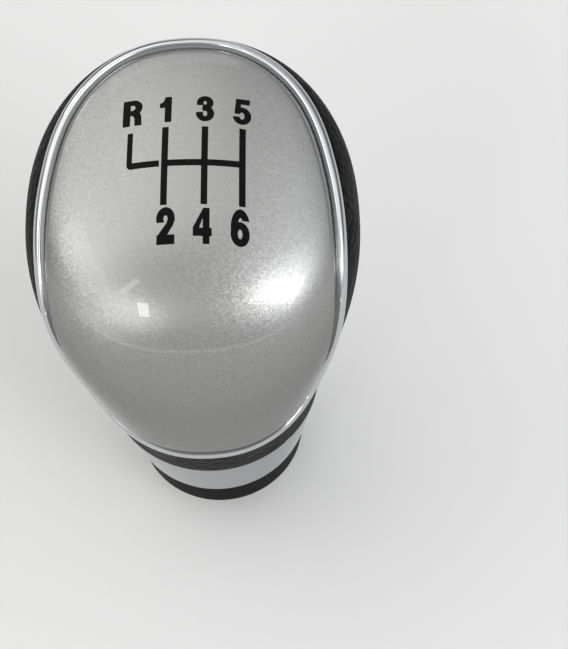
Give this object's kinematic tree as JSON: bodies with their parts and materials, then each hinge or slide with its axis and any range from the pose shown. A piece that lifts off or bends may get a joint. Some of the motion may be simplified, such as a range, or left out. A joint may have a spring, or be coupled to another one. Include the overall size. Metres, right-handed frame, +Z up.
{
  "type": "gear shift knob",
  "caption": "Domed hand knob with a silver shift-pattern face, bright trim, grained grip, tapered bright skirt and a spring-loaded lift ring below it.",
  "frame": {"origin": "centre of the mouth of the lever's bore, at the nose's lower end", "axes": "+Z up along the lever's axis toward the crown; -Y toward the driver's side that the face looks to; +X to the right as the face is read"},
  "size_m": [0.0638, 0.069, 0.108],
  "materials": {
    "core_plastic": "satin moulded black",
    "insert_brass": "turned",
    "grip_soft": "soft-touch with a fine leather grain",
    "trim_chrome": "bright plated",
    "face_silver": "silver flake paint under clear coat",
    "skirt_chrome": "bright plated",
    "spring_steel": "spring steel",
    "ring_plastic": "satin moulded black"
  },
  "bodies": {
    "handle": {"core": "core_plastic", "threaded_insert": "insert_brass", "grip_cover": "grip_soft", "trim_ring": "trim_chrome", "face_plate": "face_silver", "skirt": "skirt_chrome", "skirt_clip": "spring_steel", "return_spring": "spring_steel"},
    "collar": {"lift_ring": "ring_plastic"}
  },
  "joints": [
    {"name": "lift_ring_slide", "type": "slide", "parent": "handle", "child": "collar", "axis": [0, 0, 1], "range_m": [0, 0.008], "stiffness_N_per_m": 250, "springref_m": -0.012, "deforming": ["return_spring"]}
  ]
}
